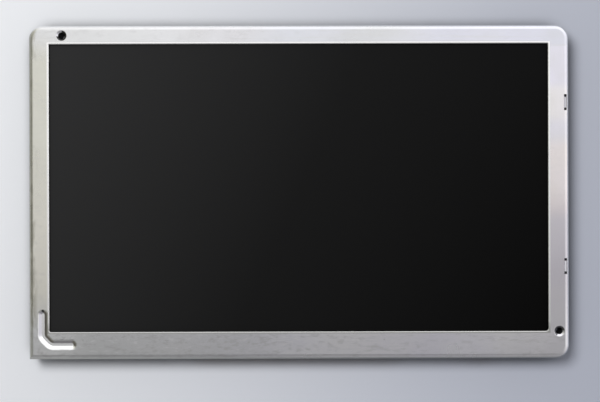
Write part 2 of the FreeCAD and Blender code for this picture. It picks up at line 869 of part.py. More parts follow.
def flex_connector(place, width):
    """Low connector on the board, with a slot for the end of a flexible circuit and a rear latch bar."""
    half = width / 2 + flex_connector_side
    z_low = z_board_rear - flex_connector_height
    body = block(place - half, place + half, flex_connector_front, flex_connector_back, z_low, z_board_rear)
    slot_half = width / 2 + flex_slot_clearance
    slot = block(place - slot_half, place + slot_half, flex_connector_front, flex_end + flex_slot_clearance,
                 z_flex_entry - flex_slot_height / 2, z_flex_entry + flex_slot_height / 2)
    y_latch = flex_connector_back - latch_bar
    groove = block(place - slot_half, place + slot_half, y_latch - latch_groove, y_latch, z_low,
                   z_low + latch_groove)
    return body.cut([slot, groove])


def interface_contacts():
    """Stamped contacts: a blade in the socket, through its rear wall, to a foot on the board."""
    x_mouth = board_left - plug_socket_overhang
    x_back = x_mouth + plug_socket_depth
    pitch = (plug_socket_length - 2 * contact_from_end) / contact_count
    middle = (board_bottom + board_top) / 2
    contacts = []
    for index in range(contact_count):
        y = middle + (index - (contact_count - 1) / 2) * pitch
        y0 = y - contact_width / 2
        y1 = y + contact_width / 2
        blade = block(x_mouth + plug_socket_wall, x_back + contact_thickness, y0, y1, z_blade,
                      z_blade + contact_thickness)
        drop = block(x_back, x_back + contact_thickness, y0, y1, z_blade, z_board_rear)
        foot = block(x_back, x_back + contact_foot, y0, y1, z_board_rear - contact_thickness, z_board_rear)
        contacts.append(blade.fuse([drop, foot]).removeSplitter())
    return contacts


def interface_socket(contacts):
    """Receptacle at the board's left edge, open to the left."""
    x_mouth = board_left - plug_socket_overhang
    middle = (board_bottom + board_top) / 2
    half = plug_socket_length / 2
    z_low = z_board_rear - component_height
    body = block(x_mouth, x_mouth + plug_socket_depth, middle - half, middle + half, z_low, z_board_rear)
    inside = half - plug_socket_wall
    cavity = block(x_mouth, x_mouth + plug_socket_depth - plug_socket_wall, middle - inside, middle + inside,
                   z_low + plug_socket_wall, z_board_rear - plug_socket_wall)
    return body.cut([cavity] + contacts)


def leaded_chip(x, y, size_x, size_y, height, leads_x, leads_y):
    """Moulded chip on the board with bent leads: leads_x along its long sides, leads_y along its ends."""
    z_low = z_board_rear - height
    z_body = z_board_rear - chip_stand_off
    body = block(x - size_x / 2, x + size_x / 2, y - size_y / 2, y + size_y / 2, z_low, z_body)
    body = body.makeChamfer(chip_stand_off, edges_at(body, z_low))
    z_lead = (z_low + z_body) / 2
    half = controller_lead_width / 2
    pieces = []
    for count, across, size, is_x in ((leads_x, size_y, size_x, True), (leads_y, size_x, size_y, False)):
        pitch = size / (count + 1) if count else 0
        for index in range(count):
            place = (index - (count - 1) / 2) * pitch
            for side in (-1, 1):
                pieces.append(gull_lead(x, y, place, side, across / 2, half, z_lead, is_x))
    return body.fuse(pieces).removeSplitter()


def gull_lead(x, y, place, side, edge, half, z_lead, is_x):
    """One lead: out of the body, down to the board and outward along it."""
    knee = edge + controller_lead_reach / 2
    runs = [
        (edge, knee, z_lead, z_lead + contact_thickness),
        (knee - contact_thickness, knee, z_lead, z_board_rear),
        (knee, edge + controller_lead_reach, z_board_rear - contact_thickness, z_board_rear),
    ]
    blocks = []
    for near, far, z0, z1 in runs:
        low, high = sorted((side * near, side * far))
        if is_x:
            blocks.append(block(x + place - half, x + place + half, y + low, y + high, z0, z1))
        else:
            blocks.append(block(x + low, x + high, y + place - half, y + place + half, z0, z1))
    return blocks[0].fuse(blocks[1:]).removeSplitter()


def board_chips():
    """Chips: the large one and its memory under the cover, the touch controller between two connectors."""
    cover_x = (cover_left + cover_right) / 2
    cover_y = (cover_bottom + cover_top) / 2
    source_end = source_flex_place + source_flex_width / 2
    touch_start = touch_flex_place - touch_flex_width / 2
    return {
        "timing_controller": leaded_chip(cover_x - controller_side, cover_y, controller_side, controller_side,
                                         component_height, controller_lead_count, controller_lead_count),
        "flash_memory": leaded_chip(cover_x + controller_side / 2, cover_y, small_chip_length,
                                    small_chip_width, component_height, chip_lead_count, 0),
        "touch_controller": leaded_chip((source_end + touch_start) / 2,
                                        (flex_connector_front + flex_connector_back) / 2, small_chip_length,
                                        small_chip_width, component_height, chip_lead_count, 0),
    }


def power_coil():
    """Square coil housing with a round core let into its top."""
    x = board_left + plug_socket_depth + contact_foot + coil_side
    y = board_top - coil_side
    half = coil_side / 2
    z_low = z_board_rear - component_height
    body = rounded_block(x - half, x + half, y - half, y + half, z_low, z_board_rear, coil_corner_radius)
    ring = cylinder(x, y, z_low, z_low + coil_groove, coil_core_radius + coil_groove)
    return body.cut(ring.cut(cylinder(x, y, z_low, z_low + coil_groove, coil_core_radius)))


def capacitors():
    """A row of chip capacitors with stepped end caps beside the socket."""
    x0 = board_left + plug_socket_depth + contact_foot + capacitor_length / 2
    x1 = x0 + capacitor_length
    z0 = z_board_rear - capacitor_height
    z1 = z_board_rear
    step = capacitor_step
    bodies = {}
    for index in range(capacitor_count):
        y0 = board_bottom + capacitor_from_board_edge + capacitor_pitch * index - capacitor_width / 2
        y1 = y0 + capacitor_width
        core = block(x0, x1, y0 + step, y1 - step, z0 + step, z1 - step)
        caps = [block(x0, x0 + capacitor_terminal, y0, y1, z0, z1),
                block(x1 - capacitor_terminal, x1, y0, y1, z0, z1)]
        bodies[f"capacitor_{index + 1}"] = core.fuse(caps).removeSplitter()
    return bodies


def build():
    contacts = interface_contacts()
    parts = {
        "front_bezel": front_bezel(),
        "touch_film": glass_block(film_setback, z_film_rear, z_film_front),
        "touch_spacer": touch_spacer(),
        "touch_glass": glass_block(0, z_touch_rear, z_touch_front),
        "touch_flex": touch_flex(),
        "panel_gasket": panel_gasket(),
        "front_polarizer": front_polarizer(),
        "colour_filter_glass": filter_block(0, z_tft_front, z_filter_front),
        "tft_glass": glass_block(0, z_tft_rear, z_tft_front),
        "rear_polarizer": area_block(rear_polarizer_margin, z_tft_rear - polarizer_thickness, z_tft_rear),
        "source_flex": source_flex(),
        "mould_frame": mould_frame(),
        "prism_sheet": guide_block(-reflector_setback, z_prism_rear, z_prism_rear + prism_thickness),
        "diffuser_sheet": guide_block(-reflector_setback, z_guide_front, z_prism_rear),
        "light_guide": guide_block(0, z_guide_rear, z_guide_front),
        "reflector_sheet": guide_block(-reflector_setback, z_chassis_front, z_guide_rear),
        "led_flex": led_flex(),
        "rear_chassis": rear_chassis(),
        "insulation_sheet": insulation_sheet(),
        "control_board": control_board(),
        "source_connector": flex_connector(source_flex_place, source_flex_width),
        "touch_connector": flex_connector(touch_flex_place, touch_flex_width),
        "led_connector": flex_connector(led_flex_place, led_flex_width),
        "interface_socket": interface_socket(contacts),
        "interface_contacts": Part.makeCompound(contacts),
        "power_coil": power_coil(),
        "shield_cover": shield_cover(),
        "board_screws": board_screws(),
        "chassis_screws": chassis_screws(),
    }
    for group in (bezel_gaskets(), driver_chips(), lights(), board_chips(), capacitors()):
        parts.update(group)
    return parts


os.makedirs("parts", exist_ok=True)
for node, shape in build().items():
    shape.exportStep(f"parts/{node}.step")
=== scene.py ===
import bmesh
import bpy
import json
import math
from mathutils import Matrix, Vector


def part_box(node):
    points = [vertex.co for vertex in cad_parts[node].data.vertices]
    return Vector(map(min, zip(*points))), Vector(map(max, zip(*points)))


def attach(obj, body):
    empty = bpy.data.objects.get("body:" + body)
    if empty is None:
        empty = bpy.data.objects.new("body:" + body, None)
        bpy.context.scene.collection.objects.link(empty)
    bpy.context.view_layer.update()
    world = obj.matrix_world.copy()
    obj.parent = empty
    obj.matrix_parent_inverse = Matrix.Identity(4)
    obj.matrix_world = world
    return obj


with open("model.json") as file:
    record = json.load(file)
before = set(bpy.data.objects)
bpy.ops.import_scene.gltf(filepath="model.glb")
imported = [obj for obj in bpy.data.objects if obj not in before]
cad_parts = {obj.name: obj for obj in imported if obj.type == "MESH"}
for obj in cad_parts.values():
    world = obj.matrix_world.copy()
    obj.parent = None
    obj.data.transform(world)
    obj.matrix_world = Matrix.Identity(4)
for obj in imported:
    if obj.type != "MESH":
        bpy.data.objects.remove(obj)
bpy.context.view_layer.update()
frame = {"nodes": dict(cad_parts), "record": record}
nodes = frame["nodes"]
slot_of = {row["node"]: row["material_slot"] for row in frame["record"]["subparts"]}
MM = 0.001

# The picture in its own pixels, and where the outline of the bezel's face lies in it
picture_width = 600
picture_height = 402
outline_left_px = 28.4
outline_right_px = 569.4
outline_centre_y_px = 192.05
roll_deg = 0.15
lens_mm = 70.0
sensor_mm = 36.0

# Floor, in metres: painted light, paler towards the key light, with a painted shadow halo round what stands
# on it
floor_size = 6.0
floor_near_key = (0.77, 0.78, 0.80, 1)
floor_far = (0.455, 0.475, 0.55, 1)
floor_fade = (-0.13, 0.13)
floor_fade_turn = -0.25
floor_roughness = 0.9
floor_shine = 0.1
halo_reach = 6.4 * MM
halo_span = (0.97, 0.68)
halo_shades = (1.0, 0.50)

# Key light, and an even fill for matt surfaces
key_place = (-0.135, 0.13, 0.50)
key_size = 0.20
key_power = 1.95
fill_colour = (0.97, 0.98, 1.0, 1)
fill_strength = 0.38

# Room that metal reflects; its spans are along directions of length 1, with X right, Y far and Z up
room_left_colour = (1.0, 1.0, 0.90, 1)
room_right_colour = (1.0, 0.995, 1.0, 1)
room_side_span = (-0.7, -0.25)
ceiling_turn = -0.1
ceiling_span = (-0.13, 0.04)
ceiling_levels = (0.24, 1.02)
wall_level = 0.60
wall_slope = (0.42, 0.74, 0)
wall_least = 0.25
wall_near_rise = (0, -0.08, 0)
wall_top_span = (0.84, 0.955)
horizon_span = (0.06, 0.22)
horizon_share = 0.35
horizon_level = 1.0

# Surfaces. Sizes and places are in mm, places from the middle of the outline. A noise is its scale, detail,
# roughness and stretch, and most of it lies in noise_span. A cover is the two values between which a tone
# comes in, then its share at each.
noise_span = (0.3, 0.7)
edge_blur = 0.02
stripe_core = 0.7
usual_relief = 0.1
relief_depth = 0.02 * MM

# Bezel: its sheet
steel_left = (0.79, 0.80, 0.80, 1)
steel_right = (0.80, 0.785, 0.87, 1)
steel_fade = (-80, 60)
steel_roughness = (0.23, 0.28)
steel_relief = 0.012
rolling_noise = (1.0, 4.0, 0.55, (0.03, 1.6, 1.6))
streak_cover = (0.50, 0.75, 0, 0.30)
streak_border_cover = (43.0, 46.0, 0.25, 1.0)
streak_tone = (0.69, 0.69, 0.685, 1)
cloud_noise = (0.045, 3.0)
cloud_cover = (0.40, 0.70, 0, 0.6)
cloud_tone = (0.74, 0.735, 0.745, 1)
warm_noise = (0.018, 1.0)
warm_cover = (0.54, 0.70, 0, 0.4)
warm_tone = (0.80, 0.785, 0.74, 1)
scuff_noise = (1.0, 4.0, 0.7, (0.22, 3.2, 3.2))
scuff_cover = (0.66, 0.74, 0, 0.55)
scuff_tone = (0.86, 0.86, 0.86, 1)
speck_scale = 0.16
speck_cover = (0.05, 0.02, 0, 0.5)
speck_tone = (0.42, 0.41, 0.40, 1)

# Bezel: tints of stretches of its borders, each stretch an axis, where it sets in and where it is full
olive_stretches = (("X", -77.8, -78.8), ("Y", 50, 40), ("Y", -44, -30))
olive_fade = (22, -26)
olive_upper = (0.715, 0.71, 0.64, 1)
olive_lower = (0.82, 0.80, 0.725, 1)
border_tints = (
    ((1.07, 1.06, 0.98, 1), ("X", 76, 79), ("Y", 35, 31), ("Y", 20, 25)),
    ((1.11, 1.06, 1.03, 1), ("X", 76, 79), ("Y", 18, 13), ("Y", -10, -4)),
    ((0.88, 0.86, 0.89, 1), ("X", 76, 79), ("Y", 2, -9), ("Y", -44, -26)),
    ((1.05, 1.055, 1.06, 1), ("X", 30, 70), ("Y", -42, -45)),
    ((0.88, 0.88, 0.88, 1), ("X", 10, -30), ("X", -77, -66), ("Y", -42, -45)),
    ((0.925, 0.95, 0.955, 1), ("X", -20, 0), ("Y", 45, 46.5)),
)

# Bezel: smudges and rubs from handling, and a patchy darker olive tone along the left bend
patch_noise = (0.9, 5.0, 0.65, (0.45, 1.0, 1.0))
patch_lower_cover = (-40.0, -44.5, 0.3, 1.0)
patch_right_cover = (0, 45, 1.0, 0.4)
smudge_cover = (0.50, 0.64, 0, 0.55)
smudge_tone = (0.58, 0.575, 0.58, 1)
rub_cover = (0.42, 0.32, 0, 0.5)
rub_tone = (0.84, 0.84, 0.85, 1)
left_bend_noise = (0.22, 3.0, 0.6, (1.0, 0.3, 1.0))
left_bend_cover = (0.48, 0.60, 0, 0.75)
left_bend_reach = (3.2, 1.6)
left_bend_tone = (0.50, 0.49, 0.43, 1)

# Bezel: painted shade and highlight on the bend round its face, by depth below the face, and on the edge of
# its window
bend_line_start = (0.22, 0.50)
bend_line_end = (2.6, 1.6)
bend_side = 3.0
# Painted shade and painted highlight for the bend's outer half
bend_painted_shade = (0.37, 0.37, 0.34, 1)
bend_painted_highlight = (0.95, 0.95, 0.95, 1)
# Painted highlight and shade along the window's edge
window_margin = 0.2
rim_light_span = (0.80, 0.52)
rim_painted_shade = (0.60, 0.60, 0.59, 1)
rim_shade_reach = 4.0
rim_painted_highlight = (0.97, 0.97, 0.965, 1)

# Bezel: painted highlight and shade on the bead, which lies between two distances from the lower left corner;
# a turn is how far a wall faces a side, where a tone sets in and where it is full
bead_area = (1.9, 19.0)
bead_area_fade = (0.1, 0.0)
bead_drop = (0.08, 0.25)
bead_painted_highlight = (0.97, 0.97, 0.98, 1)
bead_upright_side = (1.0, -1.0, 0)
bead_upright_turn = (0.20, 0.50)
bead_upright_shade = (0.66, 0.65, 0.70, 1)
bead_shade_side = (-1.0, -0.55, 0)
bead_shade_turn = (0.12, 0.50)
bead_painted_shade = (0.33, 0.31, 0.29, 1)
bead_end_from_corner = (4.4, 15.25)
# A dark spot of painted shade at the bead's upper end
bead_end_shade_reach = (0.5, 0.3)
bead_end_shade_tone = (0.03, 0.03, 0.03, 1)

# Bezel: painted light in the dimples of the holes; each row is the side and turn of the wall with a painted
# highlight, then the painted shade elsewhere
upper_hole_from_corner = (10.4, 3.15)
lower_hole_from_corner = (3.2, 8.6)
dimple_reach = (1.75, 1.65)
dimple_drop = (0.03, 0.12)
dimple_painted_highlight = (0.84, 0.84, 0.89, 1)
dimple_sides = (
    ((0.707, -0.707, 0), (0.32, 0.46), (0.05, 0.05, 0.05, 1)),
    ((-0.6, 0.8, 0), (0.20, 0.36), (0.12, 0.12, 0.13, 1)),
)

# Other metals
spangle_scale = 0.42
zinc_pale = (0.66, 0.67, 0.68, 1)
zinc_dull = (0.585, 0.59, 0.60, 1)
zinc_roughness = (0.30, 0.44)
zinc_relief = 0.06
stain_noise = (0.05, 3.0)
stain_cover = (0.52, 0.72, 0, 0.5)
stain_tone = (0.50, 0.495, 0.48, 1)
plating_noise = (0.12, 3.0)
plating_span = (0.35, 0.65)
plating_relief = 0.05
scratch_noise = (1.0, 5.0, 0.65)
scratch_cover = (0.60, 0.75, 0, 0.5)
scratch_span = (0.3, 0.75)
scratch_shade = 1.08

# Screen, sheets and mouldings
# Painted reflection on the screen film, strongest towards the upper left
painted_sheen_slope = (-0.0108, 0.0048, 0)
painted_sheen_span = (-1.06, 1.06)
painted_sheen_levels = (0.0004, 0.0070, 0.0240)
painted_sheen_middle = 0.5
painted_sheen_blue = 1.01
film_shine = 0.06
film_noise = (9.0, 1.0)
film_roughness = (0.34, 0.42)
film_relief = 0.03
sheet_tone_scale = 0.08
sheet_shade = 0.94
sheet_roughness_rise = 0.06
moulded_tone_scale = 0.12
moulded_roughness_fall = 0.05
moulded_roughness_rise = 0.06
# Painted shade down the mounting bores of the frame
bore_shade_reach = (1.6, 1.44)
bore_shade = 0.04

# Board and flexible circuits
track_group_scale = 0.12
track_groups_along_x = 0.45
track_groups_bare = 0.3
track_pitch = 1.1
track_width = 0.42
track_tone = (0.026, 0.150, 0.062, 1)
track_roughness = 0.38
mask_tone = (0.010, 0.085, 0.036, 1)
mask_roughness = 0.30
mask_relief = 0.25
mask_relief_depth = 0.03 * MM
via_scale = 0.24
via_size = (0.11, 0.09)
via_tone = (0.62, 0.60, 0.55, 1)
hatch_pitch = 1.6
hatch_width = 0.5
hatch_tone = (0.55, 0.26, 0.07, 1)
hatch_roughness = 0.34
polyimide_tone = (0.33, 0.125, 0.018, 1)
polyimide_roughness = 0.26
polyimide_relief = 0.12

# What the board carries
lead_reach = 1.0
lead_tone = (0.72, 0.71, 0.68, 1)
tin_tone = (0.74, 0.73, 0.70, 1)
tin_roughness = 0.28
epoxy_grain = 6.0
epoxy_tones = ((0.018, 0.018, 0.019, 1), (0.034, 0.034, 0.036, 1))
epoxy_roughness = 0.52
epoxy_relief = 0.15
terminal_length = 0.5
ceramic_grain = 5.0
ceramic_tones = ((0.37, 0.25, 0.15, 1), (0.30, 0.195, 0.115, 1))
ceramic_roughness = 0.45
latch_depth = 1.15
latch_tone = (0.055, 0.042, 0.035, 1)
ivory_grain = 2.4
ivory_tones = ((0.68, 0.63, 0.52, 1), (0.60, 0.55, 0.45, 1))
ivory_roughness = (0.40, 0.52)
coil_ring_inner = 2.1
coil_ring_outer = 2.4
winding_tone = (0.50, 0.24, 0.10, 1)
ferrite_noise = (4.0, 3.0)
ferrite_tones = ((0.075, 0.075, 0.08, 1), (0.045, 0.045, 0.05, 1))
ferrite_roughness = (0.50, 0.62)
ferrite_relief = 0.2
glaze_grain = 4.0
glaze_tones = ((0.020, 0.021, 0.024, 1), (0.050, 0.050, 0.055, 1))
glaze_roughness = (0.24, 0.36)

# Chip resistors on the board, in mm, and how many there are in each group
passive_size = (1.6, 0.8, 0.45)
passive_end = 0.32
passive_step = 0.03
passive_edge = 0.05
passive_edge_steps = 2
passives_by_socket = 15
passive_columns_by_capacitors = 2
passive_rows_by_capacitors = 8
passives_by_touch_chip = 3


# Node helpers

def add(tree, kind, inputs=None, **settings):
    """Adds a shader node, sets its properties and fills its inputs with values or links."""
    node = tree.nodes.new("ShaderNode" + kind)
    for name, value in settings.items():
        setattr(node, name, value)
    for name, value in (inputs or {}).items():
        if isinstance(value, bpy.types.NodeSocket):
            tree.links.new(value, node.inputs[name])
        else:
            node.inputs[name].default_value = value
    return node


def math_node(tree, operation, first, second=0.0):
    return add(tree, "Math", {0: first, 1: second}, operation=operation).outputs[0]


def vector_node(tree, operation, first, second=(0, 0, 0)):
    return add(tree, "VectorMath", {0: first, 1: second}, operation=operation).outputs


def dot(tree, first, second):
    return vector_node(tree, "DOT_PRODUCT", first, second)["Value"]


def product(tree, first, *others):
    for other in others:
        first = math_node(tree, "MULTIPLY", first, other)
    return first


def ramp(tree, value, low, high, new_low=0.0, new_high=1.0, smooth=True):
    """Maps value from low..high to new_low..new_high, held at the ends."""
    kind = "SMOOTHSTEP" if smooth else "LINEAR"
    inputs = {"Value": value, "From Min": low, "From Max": high, "To Min": new_low, "To Max": new_high}
    return add(tree, "MapRange", inputs, interpolation_type=kind).outputs["Result"]


def between(tree, factor, first, second):
    """Number between first and second."""
    return add(tree, "Mix", {0: factor, 2: first, 3: second}).outputs[0]


def blend(tree, factor, first, second):
    """Colour between first and second, each a colour or a colour output."""
    return add(tree, "Mix", {0: factor, 6: first, 7: second}, data_type="RGBA").outputs[2]


def tinted(tree, mask, colour, tint):
    """Colour times tint where the mask is 1."""
    inputs = {0: mask, 6: colour, 7: tint}
    return add(tree, "Mix", inputs, data_type="RGBA", blend_type="MULTIPLY").outputs[2]


def shaded(colour, share):
    return tuple(channel * share for channel in colour[:3]) + (1,)


def place_mm(tree, stretch=(1, 1, 1)):
    """Place on the object in mm, stretched."""
    coordinate = add(tree, "TexCoord").outputs["Object"]
    scale = tuple(share / MM for share in stretch)
    return vector_node(tree, "MULTIPLY", coordinate, scale)["Vector"]


def axes_mm(tree):
    return add(tree, "SeparateXYZ", {"Vector": place_mm(tree)}).outputs


def noise(tree, scale, detail=2.0, roughness=0.5, stretch=(1, 1, 1)):
    inputs = {"Vector": place_mm(tree, stretch), "Scale": scale, "Detail": detail, "Roughness": roughness}
    return add(tree, "TexNoise", inputs).outputs["Fac"]


def cells(tree, scale, output="Distance", **settings):
    return add(tree, "TexVoronoi", {"Vector": place_mm(tree), "Scale": scale}, **settings).outputs[output]


def stripes(tree, value, pitch, width):
    """Parallel lines of a width, one at each multiple of the pitch."""
    offset = math_node(tree, "PINGPONG", value, pitch / 2)
    return ramp(tree, offset, width / 2, width / 2 * stripe_core)


def stretch_mask(tree, stretches):
    """Mask that is 1 where all the stretches, each an axis with its start and full place, are full."""
    axes = axes_mm(tree)
    return product(tree, *[ramp(tree, axes[axis], start, full) for axis, start, full in stretches])


def outside_box(tree, low, high):
    """How far a place lies outside a rectangle in XY, in mm; negative inside it."""
    axes = axes_mm(tree)
    gaps = []
    for axis in (0, 1):
        middle = (low[axis] + high[axis]) / 2
        half = (high[axis] - low[axis]) / 2
        offset = math_node(tree, "ABSOLUTE", math_node(tree, "SUBTRACT", axes[axis], middle))
        gaps.append(math_node(tree, "SUBTRACT", offset, half))
    return math_node(tree, "MAXIMUM", *gaps)


def from_axis(tree, x, y):
    """Distance of a place from the upright axis at x, y, in mm."""
    flat = vector_node(tree, "MULTIPLY", place_mm(tree), (1, 1, 0))["Vector"]
    return vector_node(tree, "DISTANCE", flat, (x, y, 0))["Value"]


def facing(tree, side, turn):
    """Mask of the surface that turns towards a side, from none to full over the two values of turn."""
    normal = add(tree, "NewGeometry").outputs["Normal"]
    return ramp(tree, dot(tree, normal, side), *turn)


def new_material(name, **values):
    """Material with a Principled shader; values are set on the shader's own sockets."""
    material = bpy.data.materials.new(name)
    material.use_nodes = True
    shader = material.node_tree.nodes["Principled BSDF"]
    for socket, value in values.items():
        shader.inputs[socket.replace("_", " ")].default_value = value
    return material, material.node_tree, shader


def finish_shader(tree, shader, colour, roughness, height=None, relief=usual_relief, depth=relief_depth):
    tree.links.new(colour, shader.inputs["Base Color"])
    tree.links.new(roughness, shader.inputs["Roughness"])
    if height is not None:
        inputs = {"Strength": relief, "Distance": depth, "Height": height}
        tree.links.new(add(tree, "Bump", inputs).outputs["Normal"], shader.inputs["Normal"])


# Places on the object, in mm

def box_mm(node):
    low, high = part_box(node)
    return [value / MM for value in low], [value / MM for value in high]


def mount_axes():
    """Places of the two mounting holes in XY."""
    low, high = box_mm("front_bezel")
    upper = (low[0] + upper_hole_from_corner[0], high[1] - upper_hole_from_corner[1])
    lower = (high[0] - lower_hole_from_corner[0], low[1] + lower_hole_from_corner[1])
    return upper, lower


def below_face(tree):
    """How far a place lies below the bezel's face."""
    return math_node(tree, "SUBTRACT", box_mm("front_bezel")[1][2], axes_mm(tree)["Z"])


# Metals

def steel_tone(tree, lines, clouds):
    """Plated sheet: cloudy tone, tinted borders, streaks along the rolling lines, scuffs and specks."""
    axes = axes_mm(tree)
    colour = blend(tree, ramp(tree, axes["X"], *steel_fade), steel_left, steel_right)
    colour = blend(tree, ramp(tree, clouds, *cloud_cover), colour, cloud_tone)
    colour = blend(tree, ramp(tree, noise(tree, *warm_noise), *warm_cover), colour, warm_tone)
    olive = blend(tree, ramp(tree, axes["Y"], *olive_fade), olive_upper, olive_lower)
    colour = blend(tree, stretch_mask(tree, olive_stretches), colour, olive)
    for tint, *stretches in border_tints:
        colour = tinted(tree, stretch_mask(tree, stretches), colour, tint)
    in_border = ramp(tree, math_node(tree, "ABSOLUTE", axes["Y"]), *streak_border_cover)
    streaks = product(tree, ramp(tree, lines, *streak_cover), in_border)
    colour = blend(tree, streaks, colour, streak_tone)
    colour = blend(tree, ramp(tree, noise(tree, *scuff_noise), *scuff_cover), colour, scuff_tone)
    colour = handled(tree, colour)
    return blend(tree, ramp(tree, cells(tree, speck_scale), *speck_cover), colour, speck_tone)


def handled(tree, colour):
    """Smudges and light rubs, most of them on the lower border, and a patchy darker olive tone along the left
    bend.
    """
    axes = axes_mm(tree)
    patches = noise(tree, *patch_noise)
    lower = ramp(tree, axes["Y"], *patch_lower_cover)
    often = product(tree, lower, ramp(tree, axes["X"], *patch_right_cover))
    colour = blend(tree, product(tree, ramp(tree, patches, *smudge_cover), often), colour, smudge_tone)
    colour = blend(tree, product(tree, ramp(tree, patches, *rub_cover), often), colour, rub_tone)
    from_left = math_node(tree, "SUBTRACT", axes["X"], box_mm("front_bezel")[0][0])
    darkening = ramp(tree, noise(tree, *left_bend_noise), *left_bend_cover)
    return blend(tree, product(tree, darkening, ramp(tree, from_left, *left_bend_reach)), colour, left_bend_tone)


def painted_bend_light(tree, colour):
    """The outer half of the bend round the face: painted highlight along the upper and right edges, painted
    shade elsewhere.
    """
    high = box_mm("front_bezel")[1]
    axes = axes_mm(tree)
    drop = below_face(tree)
    upper = ramp(tree, axes["Y"], high[1] - bend_side, high[1])
    right = ramp(tree, axes["X"], high[0] - bend_side, high[0])
    tone = blend(tree, math_node(tree, "MAXIMUM", upper, right), bend_painted_shade, bend_painted_highlight)
    line = product(tree, ramp(tree, drop, *bend_line_start), ramp(tree, drop, *bend_line_end))
    return blend(tree, line, colour, tone)


def painted_bead_light(tree, colour):
    """Painted highlight over the pressed bead, painted shade on its walls by how they face, most on the wall
    by the window, and painted shade at its upper end.
    """
    corner = box_mm("front_bezel")[0][:2]
    low, high = ([value + distance for value in corner] for distance in bead_area)
    near = ramp(tree, outside_box(tree, low, high), *bead_area_fade)
    pressed = product(tree, near, ramp(tree, below_face(tree), *bead_drop))
    painted_light = blend(tree, facing(tree, bead_upright_side, bead_upright_turn), bead_painted_highlight, bead_upright_shade)
    painted_light = blend(tree, facing(tree, bead_shade_side, bead_shade_turn), painted_light, bead_painted_shade)
    colour = blend(tree, pressed, colour, painted_light)
    # Painted shade: a dark spot at the bead's upper end
    end_x, end_y = (value + distance for value, distance in zip(corner, bead_end_from_corner))
    return blend(tree, ramp(tree, from_axis(tree, end_x, end_y), *bead_end_shade_reach), colour, bead_end_shade_tone)


def painted_dimple_light(tree, colour):
    """Painted shade in the dimples of the two holes, with a painted highlight on the wall on one side."""
    pressed = ramp(tree, below_face(tree), *dimple_drop)
    for place, (side, turn, darkening) in zip(mount_axes(), dimple_sides):
        near = ramp(tree, from_axis(tree, *place), *dimple_reach)
        tone = blend(tree, facing(tree, side, turn), darkening, dimple_painted_highlight)
        colour = blend(tree, product(tree, near, pressed), colour, tone)
    return colour


def painted_rim_light(tree, colour):
    """Painted highlight along the edge of the window, with painted shade along its lower side."""
    low, high = box_mm("front_polarizer")
    low = [value + window_margin for value in low[:2]]
    high = [value - window_margin for value in high[:2]]
    lit_edge = ramp(tree, outside_box(tree, low, high), *rim_light_span)
    rim = blend(tree, ramp(tree, axes_mm(tree)["Y"], low[1], low[1] + rim_shade_reach), rim_painted_shade, rim_painted_highlight)
    return blend(tree, lit_edge, colour, rim)


def bezel_steel():
    """Plated sheet with faint rolling lines along X, the marks of its making and its use, and painted light
    and shade on its bend, bead, dimples and window edge.
    """
    material, tree, shader = new_material("bezel_steel", Metallic=1.0)
    lines = noise(tree, *rolling_noise)
    clouds = noise(tree, *cloud_noise)
    colour = steel_tone(tree, lines, clouds)
    for painted_light in (painted_bend_light, painted_bead_light, painted_dimple_light, painted_rim_light):
        colour = painted_light(tree, colour)
    roughness = ramp(tree, clouds, *noise_span, *steel_roughness)
    finish_shader(tree, shader, colour, roughness, lines, steel_relief)
    return material


def chassis_steel():
    """Zinc-plated sheet with a fine crystalline spangle."""
    material, tree, shader = new_material("chassis_steel", Metallic=1.0)
    spangle = add(tree, "SeparateColor", {"Color": cells(tree, spangle_scale, "Color")}).outputs["Red"]
    stains = noise(tree, *stain_noise)
    colour = blend(tree, spangle, zinc_pale, zinc_dull)
    colour = blend(tree, ramp(tree, stains, *stain_cover), colour, stain_tone)
    finish_shader(tree, shader, colour, between(tree, spangle, *zinc_roughness), stains, zinc_relief)
    return material


def plated(name, pale, dull, rough_low, rough_high, stretch):
    """Tin, nickel or gold plating: soft tone changes and fine handling scratches."""
    material, tree, shader = new_material(name, Metallic=1.0)
    clouds = noise(tree, *plating_noise)
    scratches = noise(tree, *scratch_noise, stretch)
    colour = blend(tree, ramp(tree, clouds, *plating_span), pale, dull)
    colour = blend(tree, ramp(tree, scratches, *scratch_cover), colour, shaded(pale, scratch_shade))
    roughness = ramp(tree, scratches, *scratch_span, rough_low, rough_high)
    finish_shader(tree, shader, colour, roughness, scratches, plating_relief)
    return material


# Screen, glass and sheets

def screen_film():
    """Dark anti-glare film with a painted reflection in its colour, strongest towards the upper left."""
    material, tree, shader = new_material("touch_film", Specular_IOR_Level=film_shine)
    slope = dot(tree, place_mm(tree), painted_sheen_slope)
    painted_sheen = add(tree, "ValToRGB", {"Fac": ramp(tree, slope, *painted_sheen_span, smooth=False)})
    painted_sheen.color_ramp.elements.new(painted_sheen_middle)
    for stop, level in zip(painted_sheen.color_ramp.elements, painted_sheen_levels):
        stop.color = (level, level, level * painted_sheen_blue, 1)
    grain = noise(tree, *film_noise)
    roughness = ramp(tree, grain, *noise_span, *film_roughness)
    finish_shader(tree, shader, painted_sheen.outputs["Color"], roughness, grain, film_relief)
    return material


def sheet(name, colour, roughness, **values):
    """Smooth film, glass or bare chip with a faint unevenness."""
    material, tree, shader = new_material(name, **values)
    tone = noise(tree, sheet_tone_scale)
    made = blend(tree, tone, colour, shaded(colour, sheet_shade))
    rough = ramp(tree, tone, *noise_span, roughness, roughness + sheet_roughness_rise)
    finish_shader(tree, shader, made, rough)
    return material


